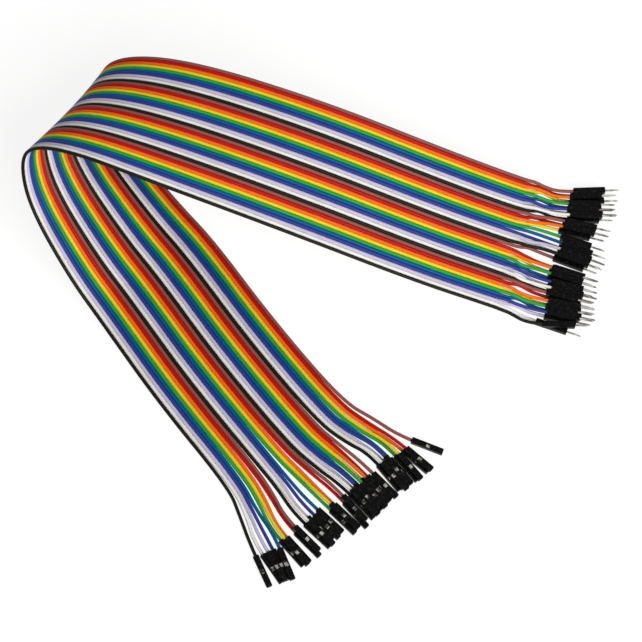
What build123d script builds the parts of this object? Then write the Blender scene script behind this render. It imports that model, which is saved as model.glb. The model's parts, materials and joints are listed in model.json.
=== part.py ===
"""Jumper wire ribbon: forty bonded wires, a one-way socket plug on one end of each and a one-way
pin plug on the other. It lies on a table, folded back on itself in one tall open bend.

Millimetres, +Z up, z = 0 is the table. The origin is at the bottom centre of the whole object.
The sockets lie at the front, the pins at the right and the bend at the far left.
"""

import os
from math import cos, pi, radians, sin, tan

from build123d import *

# ---------------------------------------------------------------- driving dimensions

# ribbon
COLOURS = ("brown", "red", "orange", "yellow", "green", "blue", "purple", "grey", "white", "black")
REPEATS = 4  # the ten colours come four times across the ribbon
WIRE_DIAMETER = 1.4
WIRE_PITCH = 1.55  # centre to centre of neighbouring wires in the bonded stretch

# plug housing, the same moulding for sockets and pins
HOUSING_SIDE = 2.54
HOUSING_LENGTH = 14.0
CAVITY_SIDE = 1.96
FRONT_WALL = 1.2
PIN_HOLE = 1.0  # square hole through the front wall
HOLE_FUNNEL = 0.3  # bevel that guides a pin into the hole
RIM_BEVEL = 0.18

# latch window in the housing's top, with the springy tongue that catches behind the contact's box
WINDOW_LENGTH = 3.6
WINDOW_WIDTH = 1.5
TONGUE_LENGTH = 1.8
TONGUE_WIDTH = 0.9
LATCH_DROP = 0.34  # how far the tongue's tip hooks down below the wall
LATCH_RAMP = 0.8
LATCH_PLAY = 0.08  # between the tongue's tip and the box

# stamped contacts
STOCK = 0.16  # sheet thickness
CRIMP_CLEARANCE = 0.02  # between the insulation and the claws round it
CLAW_START = 0.8  # from the housing's rear face
CLAW_LENGTH = 2.2
CLAW_GAP = 0.7  # slit between the two claws, at the top
BARREL_GAP = 0.4  # bare stock between the claws and the core barrel
BARREL_LENGTH = 2.2
BARREL_WIDTH = 1.2
BARREL_HEIGHT = 1.3
BARREL_ROLL = 0.4  # radius of the two rolled edges
BARREL_GROOVE = 0.25  # slit where the rolled edges meet
NECK_LENGTH = 0.9
NECK_WIDTH = 1.2
BOX_SIDE = 1.74
CONTACT_PLAY = 0.1  # between the socket's box and the front wall that stops it
LEAF_STOCK = 0.1
LEAF_WIDTH = 0.9
LEAF_START = 0.7  # behind the box's front
LEAF_LENGTH = 4.2
PIN_SIDE = 0.64
PIN_REACH = 6.2  # beyond the housing's front face
PIN_TAPER = 0.7
PIN_TIP = 0.3
PIN_BOX_LENGTH = 3.6
PINCH = 0.05  # how much the spring leaf stands in a pin's way

# heaps of plugs
PLUG_GAP = 0.1  # between neighbouring plugs, side by side or one on the other
FAN_STRAIGHT = 6.0  # how far a wire runs straight on behind its plug

# The socket end of the ribbon is torn into strands, from the last wire (black) to the first: how
# many wires each one has, and how far behind its plugs they are still side by side.
SOCKET_STRANDS = (1, 4, 3, 2, 5, 3, 2, 10, 5, 2, 2, 1)
STRAND_REACH = 18.0

# The ribbon's route, from the socket end to the pin end: the centres of its near edge (black) and
# of its far edge (brown). The wires lie between them, about the middle, at WIRE_PITCH.
RIBBON_STATIONS = (
    ((-43.5, -69.5, 0.75), (4.0, -31.5, 0.75)),
    ((-73.5, -32.2, 0.75), (-26.5, 5.2, 0.75)),
    ((-99.5, 4.0, 2.0), (-52.5, 41.5, 0.75)),
    ((-112.5, 19.5, 14.0), (-68.5, 59.5, 1.0)),
    ((-127.0, 42.5, 34.0), (-90.0, 84.0, 9.0)),
    ((-129.0, 55.5, 50.0), (-99.5, 98.0, 19.5)),
    ((-124.0, 59.5, 59.5), (-103.0, 106.0, 27.0)),
    ((-106.0, 55.0, 63.5), (-92.5, 110.0, 42.0)),
    ((-74.5, 46.0, 55.5), (-60.0, 103.5, 49.0)),
    ((-19.5, 31.0, 37.5), (-3.5, 89.0, 39.5)),
    ((35.0, 17.0, 16.0), (51.5, 75.0, 19.5)),
    ((67.5, 9.0, 7.5), (83.5, 67.0, 9.0)),
)

# A heap of plugs, from the last wire (black) to the first (brown): where the row starts and runs,
# then each bunch of plugs as (place along the row, place outward, heading, plugs on the table,
# plugs on top of them, extra heading of those on top). Degrees and millimetres.
SOCKET_ROW = ((-32.0, -98.0), 38.6)
SOCKET_BUNCHES = (
    (0.1, 0.1, -65, 1, 0, 0),
    (2.7, 0.6, -55, 1, 0, 0),
    (3.7, 2.8, -58, 0, 1, 0),
    (7.3, 2.2, -62, 1, 0, 0),
    (8.8, 2.8, -67, 0, 1, 0),
    (12.2, 2.3, -48, 2, 1, 0),
    (18.9, 1.8, -45, 1, 1, 0),
    (24.2, 2.0, -43, 4, 1, 0),
    (36.1, 3.5, -44, 2, 1, 2),
    (42.5, 4.2, -48, 1, 1, 0),
    (46.5, 3.6, -46, 6, 4, 0),
    (63.8, 2.2, -51, 3, 2, 0),
    (71.9, 3.2, -50, 1, 1, 0),
    (75.7, 3.8, -41, 1, 1, 0),
    (80.8, 1.2, -22, 1, 0, 0),
)
PIN_ROW = ((90.0, 1.0), 75.8)
PIN_BUNCHES = (
    (-0.4, -0.2, -2, 0, 1, 0),
    (2.3, -4.2, -20, 1, 0, 0),
    (5.4, 0.2, -12, 3, 3, 0),
    (14.2, -1.2, -15, 3, 3, 0),
    (23.1, -2.4, -19, 3, 2, 0),
    (32.7, -1.1, -22, 4, 2, 0),
    (43.4, -2.0, -20, 1, 0, 0),
    (46.1, -1.4, -15, 2, 2, 1),
    (52.2, 0.8, -2, 3, 3, 0),
    (60.6, 0.0, 1, 2, 2, 1),
)
REACH_PATTERN = (0.0, 0.9, -0.5, 0.4, 1.2, -0.8, 0.6)  # the plugs don't lie level with each other
SOCKET_ROLLS = (0, 0, 0, 0, 0, 0, 0, 0, -90)  # most sockets lie with the window up
PIN_ROLLS = (180, 90, 180, 180, -90, 180, 90)  # most pins lie with the window down

# ---------------------------------------------------------------- worked out from these

WIRE_COUNT = REPEATS * len(COLOURS)
CAVITY_LENGTH = HOUSING_LENGTH - FRONT_WALL
CLAW_RADIUS = WIRE_DIAMETER / 2 + CRIMP_CLEARANCE + STOCK  # outside of the claws
FLOOR = -CLAW_RADIUS  # underside of the contact, below the plug's axis
BARREL_START = CLAW_START + CLAW_LENGTH + BARREL_GAP
BOX_START = BARREL_START + BARREL_LENGTH + NECK_LENGTH
BOX_END = CAVITY_LENGTH - CONTACT_PLAY
BOX_ROOF = FLOOR + BOX_SIDE - STOCK  # underside of the box's roof
WINDOW_START = BOX_START - LATCH_PLAY - TONGUE_LENGTH
LAYER_HEIGHTS = (HOUSING_SIDE / 2, 1.5 * HOUSING_SIDE + PLUG_GAP)


# ---------------------------------------------------------------- where the plugs lie


def bunch_offsets(lower, upper):
    """Places in one bunch, in row order: (steps along the bunch, layer)."""
    lean = 0.5 if lower > upper else 0.4
    places = [(step, 0) for step in range(lower)] + [(step + lean, 1) for step in range(upper)]
    return sorted(places)


def plug_planes(row, bunches, rolls):
    """One plane for each wire, brown first: origin at the plug's rear face, x along the plug."""
    (start_x, start_y), row_angle = row
    along = Vector(cos(radians(row_angle)), sin(radians(row_angle)))
    outward = Vector(along.Y, -along.X)
    planes = []
    for place, out, heading, lower, upper, top_turn in bunches:
        ahead = Vector(cos(radians(heading)), sin(radians(heading)))
        side = Vector(-ahead.Y, ahead.X)
        for step, layer in bunch_offsets(lower, upper):
            reach = REACH_PATTERN[len(planes) % len(REACH_PATTERN)]
            rear = Vector(start_x, start_y, LAYER_HEIGHTS[layer])
            rear += along * place + outward * out + ahead * reach
            rear += side * (step * (HOUSING_SIDE + PLUG_GAP))
            turned = radians(heading + layer * top_turn)
            roll = radians(rolls[len(planes) % len(rolls)])
            top = Vector(-sin(turned) * sin(roll), cos(turned) * sin(roll), cos(roll))
            planes.append(Plane(rear, x_dir=(cos(turned), sin(turned), 0), z_dir=top))
    return planes[::-1]


socket_planes = plug_planes(SOCKET_ROW, SOCKET_BUNCHES, SOCKET_ROLLS)
pin_planes = plug_planes(PIN_ROW, PIN_BUNCHES, PIN_ROLLS)


# ---------------------------------------------------------------- wires


def ribbon_point(near_edge, far_edge, wire):
    """Centre of one wire in the bonded stretch, at one station."""
    near, far = Vector(*near_edge), Vector(*far_edge)
    across = (near - far).normalized()
    return (near + far) * 0.5 + across * (WIRE_PITCH * (wire - (WIRE_COUNT - 1) / 2))


def parting_points():
    """Where each wire leaves its strand: side by side at WIRE_PITCH, short of the strand's sockets."""
    points = []
    for count in SOCKET_STRANDS[::-1]:
        strand = range(len(points), len(points) + count)
        plugs = sum((socket_planes[wire].origin for wire in strand), Vector()) / count
        bonded = sum((ribbon_point(*RIBBON_STATIONS[0], wire) for wire in strand), Vector()) / count
        back = (bonded - plugs).normalized()
        across = Vector(0, 0, 1).cross(back).normalized()
        for place in range(count):
            offset = WIRE_PITCH * (place - (count - 1) / 2)
            points.append(plugs + back * STRAND_REACH + across * offset)
    return points


partings = parting_points()


def wire_route(wire):
    """Route points of one wire, from its crimp in the socket plug to its crimp in the pin plug."""
    socket, pin = socket_planes[wire], pin_planes[wire]
    inside, behind = Vector(BARREL_START, 0, 0), Vector(-FAN_STRAIGHT, 0, 0)
    middle = [ribbon_point(near, far, wire) for near, far in RIBBON_STATIONS]
    lead_in = [socket.from_local_coords(inside), socket.from_local_coords(behind), partings[wire]]
    lead_out = [pin.from_local_coords(behind), pin.from_local_coords(inside)]
    return lead_in + middle + lead_out


def corner_radii(points):
    """The largest arc that each corner's two runs allow."""
    radii = []
    for before, corner, after in zip(points, points[1:], points[2:]):
        run_in, run_out = corner - before, after - corner
        half_turn = radians(run_in.get_angle(run_out)) / 2
        radii.append(0.45 * min(run_in.length, run_out.length) / tan(half_turn))
    return radii


os.makedirs("parts", exist_ok=True)

for wire in range(WIRE_COUNT):
    route = wire_route(wire)
    radii = corner_radii(route)
    with BuildPart() as insulated_wire:
        with BuildLine() as centre_line:
            FilletPolyline(*route, radius=radii)
        with BuildSketch(Plane(centre_line.line @ 0, z_dir=centre_line.line % 0)):
            Circle(WIRE_DIAMETER / 2)
        sweep()
    name = f"wire_{wire + 1:02d}_{COLOURS[wire % len(COLOURS)]}"
    insulated_wire.part.label = name
    export_step(insulated_wire.part, f"parts/{name}.step")
    length = sum(edge.length for edge in centre_line.edges())
    section = pi * WIRE_DIAMETER**2 / 4
    print(name, f"{length:.1f} mm, volume over section times length",
          f"{insulated_wire.part.volume / (section * length):.4f}, radii",
          " ".join(f"{radius:.0f}" for radius in radii))


# ---------------------------------------------------------------- plug housing

with BuildPart() as housing:
    with BuildSketch(Plane.YZ):
        Rectangle(HOUSING_SIDE, HOUSING_SIDE)
    extrude(amount=HOUSING_LENGTH)
    front_rim = housing.faces().sort_by(Axis.X)[-1].edges()
    rear_rim = housing.faces().sort_by(Axis.X)[0].edges()
    chamfer(front_rim + rear_rim, RIM_BEVEL)
    with BuildSketch(Plane.YZ):
        Rectangle(CAVITY_SIDE, CAVITY_SIDE)
    extrude(amount=CAVITY_LENGTH, mode=Mode.SUBTRACT)
    with BuildSketch(Plane.YZ.offset(HOUSING_LENGTH)):
        Rectangle(PIN_HOLE, PIN_HOLE)
    extrude(amount=-FRONT_WALL, mode=Mode.SUBTRACT)
    hole_rim = housing.edges().group_by(Axis.X)[-1].sort_by(SortBy.LENGTH)[:4]
    chamfer(hole_rim, HOLE_FUNNEL)
    # the window is cut through the top wall, all but the tongue that is rooted at its rear end
    with BuildSketch(Plane.XY.offset(HOUSING_SIDE / 2)):
        with Locations((WINDOW_START, 0)):
            Rectangle(WINDOW_LENGTH, WINDOW_WIDTH, align=(Align.MIN, Align.CENTER))
            Rectangle(TONGUE_LENGTH, TONGUE_WIDTH, align=(Align.MIN, Align.CENTER), mode=Mode.SUBTRACT)
    extrude(amount=-HOUSING_SIDE / 2, mode=Mode.SUBTRACT)
    tip, wall_inside = WINDOW_START + TONGUE_LENGTH, CAVITY_SIDE / 2
    with BuildSketch(Plane.XZ):
        with BuildLine():
            Polyline((tip - LATCH_RAMP, wall_inside), (tip, wall_inside - LATCH_DROP), (tip, wall_inside),
                     close=True)
        make_face()
    extrude(amount=TONGUE_WIDTH / 2, both=True)


# ---------------------------------------------------------------- contacts


# the crimped tail that both contacts share: a strip of stock, two claws round the insulation and a
# rolled barrel round the core
with BuildPart() as crimp:
    with BuildSketch(Plane.XY.offset(FLOOR)):
        with Locations((CLAW_START, 0)):
            Rectangle(BOX_START - CLAW_START + STOCK, NECK_WIDTH, align=(Align.MIN, Align.CENTER))
    extrude(amount=STOCK)
    with BuildSketch(Plane.YZ.offset(CLAW_START)):
        Circle(CLAW_RADIUS)
        Circle(CLAW_RADIUS - STOCK, mode=Mode.SUBTRACT)
        Rectangle(CLAW_GAP, 2 * CLAW_RADIUS, align=(Align.CENTER, Align.MIN), mode=Mode.SUBTRACT)
    extrude(amount=CLAW_LENGTH)
    with BuildSketch(Plane.YZ.offset(BARREL_START)) as barrel_section:
        with Locations((0, FLOOR)):
            Rectangle(BARREL_WIDTH, BARREL_HEIGHT, align=(Align.CENTER, Align.MIN))
        fillet(barrel_section.vertices().group_by(Axis.Y)[-1], BARREL_ROLL)
        with Locations((0, FLOOR + BARREL_HEIGHT)):
            Rectangle(BARREL_GROOVE / 2, BARREL_GROOVE, align=(Align.CENTER, Align.MAX), mode=Mode.SUBTRACT)
    extrude(amount=BARREL_LENGTH)


def contact_box(length, closed_end):
    """The square box in front of the crimp, folded from stock, open at the rear."""
    section = Plane.YZ.offset(BOX_START)
    with BuildPart() as box:
        for side, depth, mode in (
            (BOX_SIDE, length, Mode.ADD),
            (BOX_SIDE - 2 * STOCK, length - closed_end, Mode.SUBTRACT),
        ):
            with BuildSketch(section):
                with Locations((0, FLOOR + BOX_SIDE / 2)):
                    Rectangle(side, side)
            extrude(amount=depth, mode=mode)
    return box.part


socket_box = contact_box(BOX_END - BOX_START, 0)
pin_box = contact_box(PIN_BOX_LENGTH, 2 * STOCK)

with BuildPart() as socket_contact:
    add(crimp.part)
    add(socket_box)
    # spring leaf: rooted in the roof near the front, bent down to the pin, its tail up again
    root, touch = BOX_END - LEAF_START, PIN_SIDE / 2 - PINCH
    with BuildSketch(Plane.XZ):
        with BuildLine():
            Polyline(
                (root, BOX_ROOF),
                (root - LEAF_LENGTH / 2, touch),
                (root - LEAF_LENGTH, (BOX_ROOF + touch) / 2),
                (root - LEAF_LENGTH, (BOX_ROOF + touch) / 2 + LEAF_STOCK),
                (root - LEAF_LENGTH / 2, touch + LEAF_STOCK),
                (root - 2 * LEAF_STOCK, BOX_ROOF),
                close=True,
            )
        make_face()
    extrude(amount=LEAF_WIDTH / 2, both=True)

with BuildPart() as pin_contact:
    add(crimp.part)
    add(pin_box)
    pin_root = BOX_START + PIN_BOX_LENGTH - STOCK
    with BuildSketch(Plane.YZ.offset(pin_root)):
        Rectangle(PIN_SIDE, PIN_SIDE)
    extrude(amount=HOUSING_LENGTH + PIN_REACH - pin_root)
    pin_tip = pin_contact.faces().sort_by(Axis.X)[-1]
    chamfer(pin_tip.edges(), (PIN_SIDE - PIN_TIP) / 2, PIN_TAPER, reference=pin_tip)


# ---------------------------------------------------------------- plugs on their wires

PLUG_PIECES = (
    ("socket_housings", housing, socket_planes),
    ("socket_contacts", socket_contact, socket_planes),
    ("pin_housings", housing, pin_planes),
    ("pin_contacts", pin_contact, pin_planes),
)

for group_name, piece, planes in PLUG_PIECES:
    for repeat in range(REPEATS):
        first = repeat * len(COLOURS)
        with BuildPart() as group:
            with Locations(*planes[first : first + len(COLOURS)]):
                add(piece.part)
        group.part.label = f"{group_name}_{repeat + 1}"
        export_step(group.part, f"parts/{group.part.label}.step")
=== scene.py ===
"""Jumper wire ribbon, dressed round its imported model.

Forty insulated wires lie side by side in one bonded ribbon, folded back on itself in a tall open bend.
Each wire ends in a one-way socket plug at the front and in a one-way pin plug at the right. The plugs
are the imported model's own parts, and get their finishes here. The wires are free cords, modelled here
as tubes whose insulation keeps the thin webs that bond it to its neighbours.
"""

from __future__ import annotations

import json
import logging
import math
from dataclasses import dataclass, field
from enum import Enum

import bpy
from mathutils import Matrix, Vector

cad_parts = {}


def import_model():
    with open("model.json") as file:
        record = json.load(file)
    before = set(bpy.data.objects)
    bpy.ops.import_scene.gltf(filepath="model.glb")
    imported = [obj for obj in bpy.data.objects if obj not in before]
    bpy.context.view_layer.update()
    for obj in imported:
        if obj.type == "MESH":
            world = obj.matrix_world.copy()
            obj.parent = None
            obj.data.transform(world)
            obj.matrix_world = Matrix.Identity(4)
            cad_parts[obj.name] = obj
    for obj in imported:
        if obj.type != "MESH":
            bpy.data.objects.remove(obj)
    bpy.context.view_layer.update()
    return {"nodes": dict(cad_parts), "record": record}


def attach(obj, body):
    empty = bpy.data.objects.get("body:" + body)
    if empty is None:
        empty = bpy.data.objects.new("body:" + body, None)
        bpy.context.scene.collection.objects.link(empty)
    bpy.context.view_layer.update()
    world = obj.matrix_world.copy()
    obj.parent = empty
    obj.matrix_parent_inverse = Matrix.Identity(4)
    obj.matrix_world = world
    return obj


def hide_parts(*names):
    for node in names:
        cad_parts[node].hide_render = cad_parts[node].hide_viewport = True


LOG = logging.getLogger("jumper_wire_ribbon")
MM = 0.001
UP = Vector((0, 0, 1))
BODY = "root"

Place = tuple[float, float, float]
Station = tuple[Place, Place]  # the ribbon's near edge and its far edge


# ---------------------------------------------------------------- colours and nodes

PURE_WHITE = (1.0, 1.0, 1.0, 1.0)
MIX_A, MIX_B, MIX_RESULT = 6, 7, 2  # a Mix node's colour sockets, whose names stand for others too


class WireColour(Enum):
    """The ten insulation colours, in the order in which they come across the ribbon."""

    BROWN = "#94544A"
    RED = "#BC0E0A"
    ORANGE = "#FF7018"
    YELLOW = "#EED428"
    GREEN = "#2CA242"
    BLUE = "#005894"
    PURPLE = "#303C8E"
    GREY = "#CAC2D8"
    WHITE = "#F2F0E8"
    BLACK = "#100C08"

    @property
    def word(self) -> str:
        """The colour's plain name, as the part's nodes and slots have it."""
        return self.name.lower()


def linear_colour(hex_colour: str, shade: float = 1.0) -> tuple[float, float, float, float]:
    """Turn an sRGB hex colour to linear light.

    Args:
        hex_colour: The colour as "#RRGGBB".
        shade: A factor on its linear value, such as 0.8 for a darker patch of the same colour.

    Returns:
        Red, green, blue and alpha, linear.
    """
    levels = []
    for place in (1, 3, 5):
        level = int(hex_colour[place : place + 2], 16) / 255
        linear = level / 12.92 if level <= 0.04045 else ((level + 0.055) / 1.055) ** 2.4
        levels.append(min(1.0, linear * shade))
    return levels[0], levels[1], levels[2], 1.0


def add_node(
    tree: bpy.types.NodeTree, kind: str, inputs: dict | None = None, **settings: object
) -> bpy.types.Node:
    """Add a node with its settings and links.

    Args:
        tree: The node tree that gets it.
        kind: The node's type name.
        inputs: For each input, by its name or number, a value or the output that feeds it.
        settings: The node's own properties.

    Returns:
        The new node.
    """
    node = tree.nodes.new(kind)
    for key, value in settings.items():
        setattr(node, key, value)
    for key, value in (inputs or {}).items():
        if isinstance(value, bpy.types.NodeSocket):
            tree.links.new(value, node.inputs[key])
        else:
            node.inputs[key].default_value = value
    return node


def new_material(name: str) -> tuple[bpy.types.Material, bpy.types.NodeTree]:
    """Make an empty node material.

    Args:
        name: The material's name.

    Returns:
        The material and its emptied node tree.
    """
    material = bpy.data.materials.new(name)
    material.use_nodes = True
    material.node_tree.nodes.clear()
    return material, material.node_tree


# ---------------------------------------------------------------- finishes


@dataclass(frozen=True)
class FlexiblePvc:
    """Plasticised PVC insulation, extruded: a soft satin gloss with faint lengthwise die lines."""

    colour: WireColour
    roughness: tuple[float, float] = (0.35, 0.45)
    ior: float = 1.53
    specular: float = 0.12  # the plasticiser at the surface dulls it
    mottle_size: float = 9 * MM  # patches where the pigment is a little thinner
    mottle_shade: float = 0.86
    mottle_detail: float = 3.0
    mottle_roughness: float = 0.6
    die_lines_round: float = 5.0  # coarser than the real ones, which are too fine to show
    die_line_length: float = 14 * MM
    die_line_detail: float = 2.0
    die_line_depth: float = 0.02 * MM
    die_line_levels: tuple[float, float] = (0.3, 0.7)  # of their noise, over which the gloss changes

    def build(self) -> bpy.types.Material:
        """Make the material for insulation of this colour.

        Returns:
            The material.
        """
        material, tree = new_material(f"flexible_pvc_{self.colour.word}")
        place = add_node(tree, "ShaderNodeTexCoord").outputs["Object"]
        mottle = add_node(
            tree,
            "ShaderNodeTexNoise",
            {
                "Vector": place,
                "Scale": 1 / self.mottle_size,
                "Detail": self.mottle_detail,
                "Roughness": self.mottle_roughness,
            },
        )
        pigment = add_node(
            tree,
            "ShaderNodeMix",
            {
                "Factor": mottle.outputs["Fac"],
                MIX_A: linear_colour(self.colour.value, self.mottle_shade),
                MIX_B: linear_colour(self.colour.value, 2 - self.mottle_shade),
            },
            data_type="RGBA",
        )
        ring = add_node(tree, "ShaderNodeAttribute", attribute_name="ring")
        along = add_node(tree, "ShaderNodeAttribute", attribute_name="along")
        round_it = add_node(
            tree,
            "ShaderNodeVectorMath",
            {0: ring.outputs["Vector"], 1: (self.die_lines_round,) * 3},
            operation="MULTIPLY",
        )
        run = add_node(
            tree, "ShaderNodeMath", {0: along.outputs["Fac"], 1: self.die_line_length}, operation="DIVIDE"
        )
        down = add_node(tree, "ShaderNodeCombineXYZ", {"Z": run.outputs[0]})
        unrolled = add_node(tree, "ShaderNodeVectorMath", {0: round_it.outputs[0], 1: down.outputs[0]})
        lines = add_node(
            tree,
            "ShaderNodeTexNoise",
            {"Vector": unrolled.outputs[0], "Scale": 1.0, "Detail": self.die_line_detail},
        )
        relief = add_node(
            tree,
            "ShaderNodeBump",
            {"Height": lines.outputs["Fac"], "Strength": 1.0, "Distance": self.die_line_depth},
        )
        gloss = add_node(
            tree,
            "ShaderNodeMapRange",
            {
                "Value": lines.outputs["Fac"],
                "From Min": self.die_line_levels[0],
                "From Max": self.die_line_levels[1],
                "To Min": self.roughness[0],
                "To Max": self.roughness[1],
            },
        )
        surface = add_node(
            tree,
            "ShaderNodeBsdfPrincipled",
            {
                "Base Color": pigment.outputs[MIX_RESULT],
                "Roughness": gloss.outputs[0],
                "IOR": self.ior,
                "Specular IOR Level": self.specular,
                "Normal": relief.outputs[0],
            },
        )
        add_node(tree, "ShaderNodeOutputMaterial", {"Surface": surface.outputs[0]})
        return material


@dataclass(frozen=True)
class MouldedNylon:
    """Injection-moulded black nylon: near black, with a satin sheen broken by spark-eroded grain, and lighter
    patches that are partly rubbed wear and partly painted highlight.
    """

    colour: str = "#060606"
    # the lighter patches: partly rubbed wear, partly painted highlight that stands in for reflections of the
    # room
    rubbed_and_highlight_colour: str = "#272624"
    roughness: tuple[float, float] = (0.24, 0.5)
    ior: float = 1.53
    specular: float = 0.05
    grain_size: float = 0.16 * MM  # about twice the real grain, so that it shows
    grain_depth: float = 0.012 * MM
    scuff_and_highlight_size: float = 1.3 * MM
    scuff_and_highlight_detail: float = 6.0
    scuff_and_highlight_roughness: float = 0.65
    scuff_and_highlight_levels: tuple[float, float] = (0.5, 0.7)  # of their noise, from untouched to the lighter patches of rubbed wear and painted highlight

    def build(self) -> bpy.types.Material:
        """Make the material of the plug housings.

        Returns:
            The material.
        """
        material, tree = new_material("moulded_nylon_black")
        place = add_node(tree, "ShaderNodeTexCoord").outputs["Object"]
        scuffs_and_highlights = add_node(
            tree,
            "ShaderNodeTexNoise",
            {
                "Vector": place,
                "Scale": 1 / self.scuff_and_highlight_size,
                "Detail": self.scuff_and_highlight_detail,
                "Roughness": self.scuff_and_highlight_roughness,
            },
        )
        rubbed_and_highlight = add_node(
            tree,
            "ShaderNodeMapRange",
            {
                "Value": scuffs_and_highlights.outputs["Fac"],
                "From Min": self.scuff_and_highlight_levels[0],
                "From Max": self.scuff_and_highlight_levels[1],
            },
            interpolation_type="SMOOTHSTEP",
        )
        # lighter patches, partly rubbed wear and partly painted highlight
        tint = add_node(
            tree,
            "ShaderNodeMix",
            {
                "Factor": rubbed_and_highlight.outputs[0],
                MIX_A: linear_colour(self.colour),
                MIX_B: linear_colour(self.rubbed_and_highlight_colour),
            },
            data_type="RGBA",
        )
        gloss = add_node(
            tree,
            "ShaderNodeMapRange",
            {
                "Value": scuffs_and_highlights.outputs["Fac"],
                "To Min": self.roughness[0],
                "To Max": self.roughness[1],
            },
        )
        grain = add_node(tree, "ShaderNodeTexNoise", {"Vector": place, "Scale": 1 / self.grain_size})
        relief = add_node(
            tree,
            "ShaderNodeBump",
            {"Height": grain.outputs["Fac"], "Strength": 1.0, "Distance": self.grain_depth},
        )
        surface = add_node(
            tree,
            "ShaderNodeBsdfPrincipled",
            {
                "Base Color": tint.outputs[MIX_RESULT],
                "Roughness": gloss.outputs[0],
                "IOR": self.ior,
                "Specular IOR Level": self.specular,
                "Normal": relief.outputs[0],
            },
        )
        add_node(tree, "ShaderNodeOutputMaterial", {"Surface": surface.outputs[0]})
        return material


@dataclass(frozen=True)
class TinPlate:
    """Electroplated tin on phosphor bronze strip: pale warm silver, with darker patches of painted shade."""

    name: str
    colour: str
    painted_shade_colour: str
    mark_size: float
    mark_detail: float = 4.0
    mark_depth: float = 0.004 * MM
    painted_shade_levels: tuple[float, float] = (0.38, 0.62)  # of their noise, from bright to the darker patches of painted shade
    roughness: tuple[float, float] = (0.18, 0.38)

    def build(self) -> bpy.types.Material:
        """Make the material of one kind of contact.

        Returns:
            The material.
        """
        material, tree = new_material(self.name)
        place = add_node(tree, "ShaderNodeTexCoord").outputs["Object"]
        marks = add_node(
            tree,
            "ShaderNodeTexNoise",
            {"Vector": place, "Scale": 1 / self.mark_size, "Detail": self.mark_detail},
        )
        painted_shade_patches = add_node(
            tree,
            "ShaderNodeMapRange",
            {
                "Value": marks.outputs["Fac"],
                "From Min": self.painted_shade_levels[0],
                "From Max": self.painted_shade_levels[1],
            },
            interpolation_type="SMOOTHSTEP",
        )
        # painted shade: darker patches that stand for the dark sides and recesses of the contacts
        tint = add_node(
            tree,
            "ShaderNodeMix",
            {
                "Factor": painted_shade_patches.outputs[0],
                MIX_A: linear_colour(self.colour),
                MIX_B: linear_colour(self.painted_shade_colour),
            },
            data_type="RGBA",
        )
        gloss = add_node(
            tree,
            "ShaderNodeMapRange",
            {
                "Value": marks.outputs["Fac"],
                "To Min": self.roughness[0],
                "To Max": self.roughness[1],
            },
        )
        relief = add_node(
            tree,
            "ShaderNodeBump",
            {"Height": marks.outputs["Fac"], "Strength": 1.0, "Distance": self.mark_depth},
        )
        surface = add_node(
            tree,
            "ShaderNodeBsdfPrincipled",
            {
                "Base Color": tint.outputs[MIX_RESULT],
                "Metallic": 1.0,
                "Roughness": gloss.outputs[0],
                "Normal": relief.outputs[0],
            },
        )
        add_node(tree, "ShaderNodeOutputMaterial", {"Surface": surface.outputs[0]})
        return material


# ---------------------------------------------------------------- plugs


class PlugKind(Enum):
    """The two kinds of plug, by the name that the record's mounts give them."""

    SOCKET = "socket"
    PIN = "pin"


@dataclass(frozen=True)
class Plug:
    """Where one plug lies, from the mount at its housing's front face."""

    front: Vector
    ahead: Vector
    housing_length: float = 14 * MM

    def on_axis(self, from_rear: float) -> Vector:
        """Return the point on the plug's axis at that distance in front of its rear face."""
        return self.front + self.ahead * (from_rear - self.housing_length)


@dataclass
class PlugSet:
    """All the plugs of the ribbon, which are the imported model's own nodes."""

    record: dict
    nodes: dict[str, bpy.types.Object]
    nylon: MouldedNylon = MouldedNylon()
    # the second, darker colour is painted shade on the pins' sides
    pin_tin: TinPlate = TinPlate("tin_plated_bronze", "#C6C4BD", "#6A6760", mark_size=4 * MM)
    # painted shade: the socket contacts' tin is darker all over, for the shade of the housing's recess that
    # holds them
    socket_tin: TinPlate = TinPlate("tin_plated_bronze_recess_shaded", "#ACA9A1", "#2F2C29", mark_size=1.7 * MM)
    group_size: int = 10  # how many plugs of one kind share a node

    def plug(self, kind: PlugKind, wire: int) -> Plug:
        """Find one plug by its mount.

        Args:
            kind: Socket or pin.
            wire: The wire's place across the ribbon, from 0.

        Returns:
            The plug's place.
        """
        start = f"{kind.value}_{wire + 1:02d}_"
        mount = next(m for m in self.record["mounts"] if m["name"].startswith(start))
        return Plug(Vector(mount["pos_m"]), Vector(mount["axis"]))

    def nodes_on(self, wire: int) -> list[bpy.types.Object]:
        """Find the nodes that hold the housings and contacts of one wire.

        Args:
            wire: The wire's place across the ribbon, from 0.

        Returns:
            The four nodes.
        """
        group = wire // self.group_size + 1
        kinds = ("socket_housings", "socket_contacts", "pin_housings", "pin_contacts")
        return [self.nodes[f"{kind}_{group}"] for kind in kinds]

    def dress(self) -> None:
        """Give every housing and contact its finish."""
        nylon = self.nylon.build()
        finishes = {
            "socket_housings": nylon,
            "pin_housings": nylon,
            "socket_contacts": self.socket_tin.build(),
            "pin_contacts": self.pin_tin.build(),
        }
        for name, node in self.nodes.items():
            finish = finishes.get(name.rpartition("_")[0])
            if finish is not None:
                node.data.materials.clear()
                node.data.materials.append(finish)
                LOG.info("%s: %s", name, finish.name)


# ---------------------------------------------------------------- wires


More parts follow.
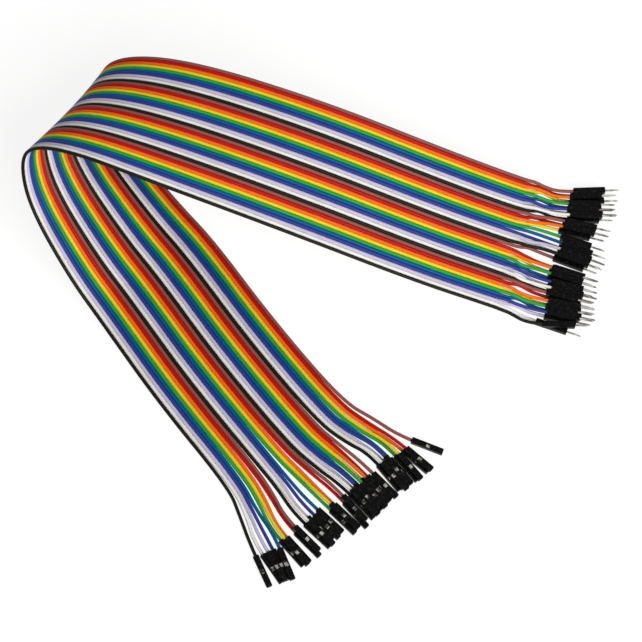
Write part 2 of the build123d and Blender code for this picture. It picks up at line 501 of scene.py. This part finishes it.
@dataclass
class InsulatedTube:
    """The node tree that sweeps one wire's insulation along its line, with its bonding webs."""

    radius: float = 0.73 * MM
    half_pitch: float = 0.775 * MM  # where the webs of two bonded wires meet
    web_half_angle: float = math.radians(13)  # of the web's flat tip, seen from the wire's centre
    web_foot_angle: float = math.radians(34)  # where the web's flank leaves the round
    sides: int = 24

    def tree(self) -> bpy.types.NodeTree:
        """Build the tree, for a line that carries the directions and bonds of the wires on both sides.

        Returns:
            The node tree, with named inputs for its sizes and its material.
        """
        tree = bpy.data.node_groups.new("insulated_tube", "GeometryNodeTree")
        for name, kind, value in (
            ("Line", "NodeSocketGeometry", None),
            ("Radius", "NodeSocketFloat", self.radius),
            ("Half Pitch", "NodeSocketFloat", self.half_pitch),
            ("Sides", "NodeSocketInt", self.sides),
            ("Insulation", "NodeSocketMaterial", None),
        ):
            socket = tree.interface.new_socket(name, in_out="INPUT", socket_type=kind)
            if value is not None:
                socket.default_value = value
        tree.interface.new_socket("Tube", in_out="OUTPUT", socket_type="NodeSocketGeometry")
        given = add_node(tree, "NodeGroupInput").outputs

        line = add_node(tree, "GeometryNodeMeshToCurve", {"Mesh": given["Line"]})
        length = add_node(tree, "GeometryNodeSplineParameter").outputs["Length"]
        place = add_node(tree, "GeometryNodeInputPosition").outputs[0]
        measured = self._store(tree, line.outputs[0], "along", "FLOAT", length)
        centred = self._store(tree, measured, "centre", "FLOAT_VECTOR", place)

        circle = add_node(
            tree,
            "GeometryNodeCurvePrimitiveCircle",
            {"Resolution": given["Sides"], "Radius": given["Radius"]},
        )
        unit = add_node(tree, "ShaderNodeVectorMath", {0: place}, operation="NORMALIZE")
        profile = self._store(tree, circle.outputs[0], "ring", "FLOAT_VECTOR", unit.outputs[0])
        swept = add_node(
            tree,
            "GeometryNodeCurveToMesh",
            {"Curve": centred, "Profile Curve": profile, "Fill Caps": True},
        )

        centre = self._named(tree, "centre", "FLOAT_VECTOR")
        out = add_node(tree, "ShaderNodeVectorMath", {0: place, 1: centre}, operation="SUBTRACT")
        away = add_node(tree, "ShaderNodeVectorMath", {0: out.outputs[0]}, operation="NORMALIZE")
        webs = [self._web(tree, away.outputs[0], side) for side in ("before", "after")]
        web = add_node(tree, "ShaderNodeMath", {0: webs[0], 1: webs[1]}, operation="MAXIMUM")
        grown = add_node(
            tree, "ShaderNodeMath", {0: given["Half Pitch"], 1: given["Radius"]}, operation="SUBTRACT"
        )
        reach = add_node(
            tree, "ShaderNodeMath", {0: grown.outputs[0], 1: web.outputs[0]}, operation="MULTIPLY"
        )
        shift = add_node(
            tree,
            "ShaderNodeVectorMath",
            {0: away.outputs[0], "Scale": reach.outputs[0]},
            operation="SCALE",
        )
        shaped = add_node(
            tree, "GeometryNodeSetPosition", {"Geometry": swept.outputs[0], "Offset": shift.outputs[0]}
        )
        smooth = add_node(tree, "GeometryNodeSetShadeSmooth", {"Geometry": shaped.outputs[0]})
        real = add_node(tree, "GeometryNodeRealizeInstances", {"Geometry": smooth.outputs[0]})
        dressed = add_node(
            tree,
            "GeometryNodeSetMaterial",
            {"Geometry": real.outputs[0], "Material": given["Insulation"]},
        )
        add_node(tree, "NodeGroupOutput", {0: dressed.outputs[0]})
        return tree

    @staticmethod
    def _named(tree: bpy.types.NodeTree, name: str, kind: str) -> bpy.types.NodeSocket:
        """Return the output that reads a named attribute of that kind."""
        node = add_node(tree, "GeometryNodeInputNamedAttribute", {"Name": name}, data_type=kind)
        return node.outputs["Attribute"]

    @staticmethod
    def _store(
        tree: bpy.types.NodeTree,
        geometry: bpy.types.NodeSocket,
        name: str,
        kind: str,
        value: bpy.types.NodeSocket,
    ) -> bpy.types.NodeSocket:
        """Store a value on each point of a geometry.

        Args:
            tree: The node tree.
            geometry: The geometry's output.
            name: The attribute's name.
            kind: The attribute's type.
            value: The output that gives the value.

        Returns:
            The geometry with the attribute.
        """
        node = add_node(
            tree,
            "GeometryNodeStoreNamedAttribute",
            {"Geometry": geometry, "Name": name, "Value": value},
            data_type=kind,
            domain="POINT",
        )
        return node.outputs[0]

    def _web(self, tree: bpy.types.NodeTree, away: bpy.types.NodeSocket, side: str) -> bpy.types.NodeSocket:
        """Work out how much of a point of the round belongs to the web on one side.

        Args:
            tree: The node tree.
            away: The direction of the point from the wire's centre.
            side: "before" or "after", the neighbour's side.

        Returns:
            The output with the share, from 0 on the round to 1 at the web's tip.
        """
        across = self._named(tree, f"to_{side}", "FLOAT_VECTOR")
        bond = self._named(tree, f"bond_{side}", "FLOAT")
        facing = add_node(tree, "ShaderNodeVectorMath", {0: away, 1: across}, operation="DOT_PRODUCT")
        lobe = add_node(
            tree,
            "ShaderNodeMapRange",
            {
                "Value": facing.outputs["Value"],
                "From Min": math.cos(self.web_foot_angle),
                "From Max": math.cos(self.web_half_angle),
            },
            interpolation_type="SMOOTHSTEP",
        )
        share = add_node(tree, "ShaderNodeMath", {0: lobe.outputs[0], 1: bond}, operation="MULTIPLY")
        return share.outputs[0]


def middle_of(points: list[Vector]) -> Vector:
    """Return the mean of some points."""
    return sum(points, Vector()) / len(points)


def from_middle(place: int, count: int) -> float:
    """Return how many steps from the middle a place lies, in a row of that many places."""
    return place - (count - 1) / 2


@dataclass(frozen=True)
class Strand:
    """Neighbouring wires that stay together between the ribbon and their plugs."""

    plugs: Vector  # the middle of its plugs' rear faces
    ribbon: Vector  # the middle of its wires where the ribbon ends

    @property
    def back(self) -> Vector:
        """The direction from the plugs to the ribbon."""
        return (self.ribbon - self.plugs).normalized()

    @property
    def across(self) -> Vector:
        """The level direction square to that."""
        return UP.cross(self.back).normalized()

    def point(self, reach: float, aside: float) -> Vector:
        """Return the point that far behind the plugs and that far to the side."""
        return self.plugs + self.back * reach + self.across * aside


@dataclass
class Ribbon:
    """The wires: one route for each, bonded side by side between the two fans of loose ends."""

    plugs: PlugSet
    tube: InsulatedTube = field(default_factory=InsulatedTube)
    repeats: int = 4
    crimp_depth: float = 3.4 * MM  # inside the plug, where the insulation ends
    fan_straight: float = 6 * MM  # how far a wire runs straight on behind its plug
    # The socket end is torn into strands. How many wires each one has, from the first wire to the
    # last, and how far behind its plugs they are still side by side.
    socket_strands: tuple[int, ...] = (1, 2, 2, 5, 10, 2, 3, 5, 2, 3, 4, 1)
    strand_reach: float = 18 * MM
    # At the pin end the wires of the upper plugs climb onto their neighbours. How many of these
    # stacks and single wires lie side by side in each strand, from the first wire to the last.
    pin_strands: tuple[int, ...] = (2, 1, 2, 1, 3, 1, 2, 2, 2, 2, 2, 1, 2)
    # How far behind its plugs a strand has its wires on each other, and where it has also closed up,
    # each with the share of the way sideways that its wires have gone by then.
    pin_steps: tuple[tuple[float, float], ...] = ((17.2 * MM, 0.15), (13.5 * MM, 1.0))
    upper_layer: float = 2.6 * MM  # a plug whose axis is higher than this lies on others
    gather: float = 0.6  # how far a strand closes up, from its plugs' places to one wire beside another
    real_length: float = 0.45
    bonded_up_to: float = 1.03  # of the pitch between neighbours, still bonded
    split_from: float = 1.22  # of the pitch, quite apart
    smoothness: int = 14  # points of the line on each span of the route
    # The centres of the ribbon's near edge (black) and far edge (brown), from the socket end to the
    # pin end, in metres.
    stations: tuple[Station, ...] = (
        ((-0.0435, -0.0695, 0.00075), (0.0040, -0.0315, 0.00075)),
        ((-0.0735, -0.0322, 0.00075), (-0.0265, 0.0052, 0.00075)),
        ((-0.0995, 0.0040, 0.0020), (-0.0525, 0.0415, 0.00075)),
        ((-0.1125, 0.0195, 0.0140), (-0.0685, 0.0595, 0.0010)),
        ((-0.1270, 0.0425, 0.0340), (-0.0900, 0.0840, 0.0090)),
        ((-0.1290, 0.0555, 0.0500), (-0.0995, 0.0980, 0.0195)),
        ((-0.1240, 0.0595, 0.0595), (-0.1030, 0.1060, 0.0270)),
        ((-0.1060, 0.0550, 0.0635), (-0.0925, 0.1100, 0.0420)),
        ((-0.0745, 0.0460, 0.0555), (-0.0600, 0.1035, 0.0490)),
        ((-0.0195, 0.0310, 0.0375), (-0.0035, 0.0890, 0.0395)),
        ((0.0350, 0.0170, 0.0160), (0.0515, 0.0750, 0.0195)),
        ((0.0675, 0.0090, 0.0075), (0.0835, 0.0670, 0.0090)),
    )

    @property
    def wire_pitch(self) -> float:
        """How far apart the centres of two wires are, bonded side by side or one on the other."""
        return 2 * self.tube.half_pitch

    @property
    def colours(self) -> list[WireColour]:
        """The colour of each wire, from the far edge to the near one."""
        return list(WireColour) * self.repeats

    def bonded_place(self, station: Station, wire: int) -> Vector:
        """Find the centre of one wire in the bonded stretch.

        Args:
            station: The ribbon's two edges there.
            wire: The wire's place across the ribbon, from 0.

        Returns:
            The point.
        """
        near, far = Vector(station[0]), Vector(station[1])
        aside = self.wire_pitch * from_middle(wire, len(self.colours))
        return (near + far) / 2 + (near - far).normalized() * aside

    def strand(self, kind: PlugKind, wires: list[int]) -> Strand:
        """Find where a strand lies at one end of the ribbon.

        Args:
            kind: The kind of plug at that end.
            wires: The strand's wires, by their places across the ribbon.

        Returns:
            The strand.
        """
        station = self.stations[0] if kind is PlugKind.SOCKET else self.stations[-1]
        return Strand(
            middle_of([self.plugs.plug(kind, wire).on_axis(0) for wire in wires]),
            middle_of([self.bonded_place(station, wire) for wire in wires]),
        )

    def partings(self) -> list[Vector]:
        """Find where each wire leaves its strand, side by side with the others, short of its socket.

        Returns:
            One point for each wire.
        """
        points = []
        for count in self.socket_strands:
            strand = self.strand(PlugKind.SOCKET, list(range(len(points), len(points) + count)))
            for place in range(count):
                aside = self.wire_pitch * from_middle(place, count)
                points.append(strand.point(self.strand_reach, aside))
        return points

    def stacks(self) -> list[list[int]]:
        """Find which wires lie on each other at the pin end.

        Returns:
            Each stack's wires, the upper one first. A wire that lies alone is a stack too.
        """
        rears = [self.plugs.plug(PlugKind.PIN, wire).on_axis(0) for wire in range(len(self.colours))]
        upper = [rear.z > self.upper_layer for rear in rears]
        stacks: list[list[int]] = []
        for wire, is_upper in enumerate(upper):
            if stacks and not is_upper and len(stacks[-1]) == 1 and upper[stacks[-1][0]]:
                stacks[-1].append(wire)
            else:
                stacks.append([wire])
        return stacks

    def gathering(self, stacks: list[list[int]]) -> list[list[Vector]]:
        """Find how the wires of one strand gather, between the ribbon and their pin plugs.

        Args:
            stacks: The strand's stacks.

        Returns:
            For each wire, its place at each step behind the plugs.
        """
        strand = self.strand(PlugKind.PIN, [wire for stack in stacks for wire in stack])
        points = []
        for place, stack in enumerate(stacks):
            rear = middle_of([self.plugs.plug(PlugKind.PIN, wire).on_axis(0) for wire in stack])
            spread = (rear - strand.plugs).dot(strand.across)
            closed = self.wire_pitch * from_middle(place, len(stacks))
            aside = spread + (closed - spread) * self.gather
            for layer, wire in enumerate(stack):
                start = (self.bonded_place(self.stations[-1], wire) - strand.ribbon).dot(strand.across)
                height = UP * (self.wire_pitch * -from_middle(layer, len(stack)))
                points.append(
                    [
                        strand.point(reach, start + (aside - start) * share) + height
                        for reach, share in self.pin_steps
                    ]
                )
        return points

    def gatherings(self) -> list[list[Vector]]:
        """Find how every wire gathers into its strand at the pin end.

        Returns:
            For each wire, its place at each step behind its strand's plugs.
        """
        stacks = iter(self.stacks())
        points = []
        for count in self.pin_strands:
            points += self.gathering([next(stacks) for _ in range(count)])
        return points

    def route(self, wire: int, parting: Vector, gathering: list[Vector]) -> list[Vector]:
        """Lay out one wire's route, from its crimp in the socket plug to that in the pin plug.

        Args:
            wire: The wire's place across the ribbon, from 0.
            parting: Where it leaves its strand at the socket end.
            gathering: Where it gathers into its strand at the pin end.

        Returns:
            The control points, in metres.
        """
        socket = self.plugs.plug(PlugKind.SOCKET, wire)
        pin = self.plugs.plug(PlugKind.PIN, wire)
        lead_in = [socket.on_axis(self.crimp_depth), socket.on_axis(-self.fan_straight), parting]
        middle = [self.bonded_place(station, wire) for station in self.stations]
        lead_out = [pin.on_axis(-self.fan_straight), pin.on_axis(self.crimp_depth)]
        return lead_in + middle + gathering + lead_out

    def line(self, route: list[Vector]) -> list[Vector]:
        """Turn a route to the smooth line that it makes.

        Args:
            route: The control points.

        Returns:
            The points of the line.
        """
        curve = bpy.data.curves.new("route", "CURVE")
        curve.dimensions = "3D"
        curve.resolution_u = self.smoothness
        spline = curve.splines.new("NURBS")
        spline.points.add(len(route) - 1)
        for point, place in zip(spline.points, route):
            point.co = (*place, 1.0)
        spline.order_u = 3
        spline.use_endpoint_u = True
        bare = bpy.data.objects.new("route", curve)
        mesh = bpy.data.meshes.new_from_object(bare)
        points = [vertex.co.copy() for vertex in mesh.vertices]
        bpy.data.meshes.remove(mesh)
        bpy.data.curves.remove(curve)
        return points

    def bonds(self, line: list[Vector], beside: list[Vector] | None) -> tuple[list[Vector], list[float]]:
        """Find where a wire is bonded to a neighbour.

        Args:
            line: The wire's points.
            beside: The neighbour's points, or None at the ribbon's edge.

        Returns:
            For each point, the direction of the neighbour and how far the web is whole, 0 to 1.
        """
        if beside is None:
            return [UP] * len(line), [0.0] * len(line)
        towards, bonded = [], []
        for here, there in zip(line, beside):
            apart = (there - here).length / self.wire_pitch
            share = (self.split_from - apart) / (self.split_from - self.bonded_up_to)
            towards.append((there - here).normalized())
            bonded.append(min(1.0, max(0.0, share)))
        return towards, bonded

    def line_mesh(self, lines: list[list[Vector]], wire: int) -> bpy.types.Mesh:
        """Make the line of one wire as a mesh of edges that carries its bonds.

        Args:
            lines: The points of every wire.
            wire: The wire's place across the ribbon, from 0.

        Returns:
            The mesh.
        """
        line = lines[wire]
        mesh = bpy.data.meshes.new("line")
        mesh.from_pydata(line, [(i, i + 1) for i in range(len(line) - 1)], [])
        for side, other in (("before", wire - 1), ("after", wire + 1)):
            beside = lines[other] if 0 <= other < len(lines) else None
            towards, bonded = self.bonds(line, beside)
            vectors = mesh.attributes.new(f"to_{side}", "FLOAT_VECTOR", "POINT")
            vectors.data.foreach_set("vector", [value for vector in towards for value in vector])
            shares = mesh.attributes.new(f"bond_{side}", "FLOAT", "POINT")
            shares.data.foreach_set("value", bonded)
        return mesh

    def sweep(
        self, mesh: bpy.types.Mesh, tree: bpy.types.NodeTree, finish: bpy.types.Material, name: str
    ) -> bpy.types.Object:
        """Sweep the insulation along one line and keep the result as a plain mesh.

        Args:
            mesh: The line.
            tree: The node tree that sweeps it.
            finish: The insulation's material.
            name: The piece's name.

        Returns:
            The insulated wire.
        """
        source = bpy.data.objects.new("line", mesh)
        bpy.context.scene.collection.objects.link(source)
        modifier = source.modifiers.new("insulation", "NODES")
        modifier.node_group = tree
        for socket in tree.interface.items_tree:
            if socket.in_out == "INPUT" and socket.name == "Insulation":
                modifier[socket.identifier] = finish
        evaluated = source.evaluated_get(bpy.context.evaluated_depsgraph_get())
        swept = bpy.data.meshes.new_from_object(evaluated)
        bpy.data.objects.remove(source)
        bpy.data.meshes.remove(mesh)
        swept.name = name
        piece = bpy.data.objects.new(name, swept)
        bpy.context.scene.collection.objects.link(piece)
        return piece

    def build(self) -> list[bpy.types.Object]:
        """Returns:
            The forty wires.
        """
        tree = self.tube.tree()
        finishes = {colour: FlexiblePvc(colour).build() for colour in WireColour}
        ends = zip(self.partings(), self.gatherings())
        lines = [self.line(self.route(wire, *places)) for wire, places in enumerate(ends)]
        wires = []
        for wire, colour in enumerate(self.colours):
            node = f"wire_{wire + 1:02d}_{colour.word}"
            mesh = self.line_mesh(lines, wire)
            piece = self.sweep(mesh, tree, finishes[colour], f"{node}_insulation")
            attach(piece, BODY)
            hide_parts(node)
            self.plugs.plug(PlugKind.SOCKET, wire).on_axis(0)
            self.plugs.nodes_on(wire)
            wires.append(piece)
        return wires


# ---------------------------------------------------------------- studio


@dataclass(frozen=True)
class Softbox:
    """One square softbox, aimed at the object."""

    name: str
    place: Place
    side: float
    power: float  # watts

    def hang(self) -> None:
        """Put the lamp in its place."""
        data = bpy.data.lights.new(self.name, "AREA")
        data.shape, data.size, data.energy = "SQUARE", self.side, self.power
        lamp = bpy.data.objects.new(self.name, data)
        lamp.location = self.place
        lamp.rotation_euler = (-Vector(self.place)).to_track_quat("-Z", "Y").to_euler()
        bpy.context.scene.collection.objects.link(lamp)


@dataclass
class Studio:
    """A plain pale table, soft light from above and the camera."""

    key: Softbox = Softbox("key_softbox", (0.42, -0.54, 0.62), side=0.7, power=8.3)
    fill: Softbox = Softbox("fill_softbox", (-0.6, 0.7, 1.0), side=0.9, power=0.25)
    surround_light: float = 0.26  # how strongly the white surroundings light the object
    floor_side: float = 6.0
    floor_drop: float = 0.02 * MM  # below the faces that lie on it
    floor_colour: str = "#F2F2F0"
    white_share: float = 0.84  # of the floor's white that no shadow takes away, near the object
    shadow_share: float = 0.3  # of the floor's white that a full shadow would take
    shadow_reach: tuple[float, float] = (150 * MM, 450 * MM)  # where the floor turns all white
    camera_target: Place = (-0.005, 0.0045, 0.0)
    camera_distance: float = 0.7307
    camera_elevation: float = math.radians(70.75)
    lens: float = 95.1  # millimetres, as the sensor's width is
    sensor_width: float = 36.0

    def build(self) -> None:
        """Set up the floor, the light and the camera."""
        self._floor()
        self._world()
        self.key.hang()
        self.fill.hang()
        self._camera()

    @staticmethod
    def _seen_directly(tree: bpy.types.NodeTree) -> bpy.types.NodeSocket:
        """Tell what the camera, a reflection or clear glass shows from what only lights the object.

        Args:
            tree: The node tree.

        Returns:
            The output that is 1 for what is shown, and else 0.
        """
        ray = add_node(tree, "ShaderNodeLightPath").outputs
        mirrored = add_node(
            tree,
            "ShaderNodeMath",
            {0: ray["Is Glossy Ray"], 1: ray["Is Transmission Ray"]},
            operation="MAXIMUM",
        )
        return add_node(
            tree, "ShaderNodeMath", {0: ray["Is Camera Ray"], 1: mirrored.outputs[0]}, operation="MAXIMUM"
        ).outputs[0]

    def _table_finish(self) -> bpy.types.Material:
        """Make the finish of the table top: white to the eye, with the object's shadow on it.

        Returns:
            The material.
        """
        material, tree = new_material("white_table")
        plain = add_node(tree, "ShaderNodeBsdfDiffuse", {"Color": linear_colour(self.floor_colour)})
        shaded = add_node(
            tree,
            "ShaderNodeBsdfDiffuse",
            {"Color": linear_colour(self.floor_colour, self.shadow_share)},
        )
        spot = add_node(tree, "ShaderNodeNewGeometry").outputs["Position"]
        from_centre = add_node(tree, "ShaderNodeVectorMath", {0: spot}, operation="LENGTH")
        whiteness = add_node(
            tree,
            "ShaderNodeMapRange",
            {
                "Value": from_centre.outputs["Value"],
                "From Min": self.shadow_reach[0],
                "From Max": self.shadow_reach[1],
                "To Min": self.white_share,
                "To Max": 1.0,
            },
            interpolation_type="SMOOTHSTEP",
        )
        glow = add_node(
            tree, "ShaderNodeEmission", {"Color": PURE_WHITE, "Strength": whiteness.outputs["Result"]}
        )
        white = add_node(tree, "ShaderNodeAddShader", {0: shaded.outputs[0], 1: glow.outputs[0]})
        look = add_node(
            tree,
            "ShaderNodeMixShader",
            {"Fac": self._seen_directly(tree), 1: plain.outputs[0], 2: white.outputs[0]},
        )
        add_node(tree, "ShaderNodeOutputMaterial", {"Surface": look.outputs[0]})
        return material

    def _floor(self) -> None:
        """Lay the table top."""
        half = self.floor_side / 2
        mesh = bpy.data.meshes.new("table_top")
        corners = [(-half, -half, 0), (half, -half, 0), (half, half, 0), (-half, half, 0)]
        mesh.from_pydata(corners, [], [(0, 1, 2, 3)])
        mesh.materials.append(self._table_finish())
        floor = bpy.data.objects.new("table_top", mesh)
        floor.location.z = -self.floor_drop
        bpy.context.scene.collection.objects.link(floor)

    def _world(self) -> None:
        """Make the surroundings: white where they are seen, and a low even light elsewhere."""
        world = bpy.data.worlds.new("white_surround")
        world.use_nodes = True
        tree = world.node_tree
        tree.nodes.clear()
        seen = self._seen_directly(tree)
        strength = add_node(
            tree, "ShaderNodeMapRange", {"Value": seen, "To Min": self.surround_light, "To Max": 1.0}
        )
        light = add_node(tree, "ShaderNodeBackground", {"Color": PURE_WHITE, "Strength": strength.outputs[0]})
        add_node(tree, "ShaderNodeOutputWorld", {"Surface": light.outputs[0]})
        bpy.context.scene.world = world

    def _camera(self) -> None:
        """Put the camera above the front edge, looking down along +Y."""
        data = bpy.data.cameras.new("camera")
        data.lens, data.sensor_width = self.lens, self.sensor_width
        back = Vector((0, -math.cos(self.camera_elevation), math.sin(self.camera_elevation)))
        camera = bpy.data.objects.new("camera", data)
        camera.location = Vector(self.camera_target) + back * self.camera_distance
        camera.rotation_euler = (-back).to_track_quat("-Z", "Y").to_euler()
        bpy.context.scene.collection.objects.link(camera)
        bpy.context.scene.camera = camera


def main() -> None:
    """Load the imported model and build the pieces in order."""
    logging.basicConfig(level=logging.INFO, format="%(name)s: %(message)s")
    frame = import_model()
    bpy.context.scene.view_settings.view_transform = "Standard"
    plugs = PlugSet(frame["record"], frame["nodes"])
    plugs.dress()
    for wire in Ribbon(plugs).build():
        LOG.info("%s: %d faces", wire.name, len(wire.data.polygons))
    Studio().build()


if __name__ == "__main__":
    main()
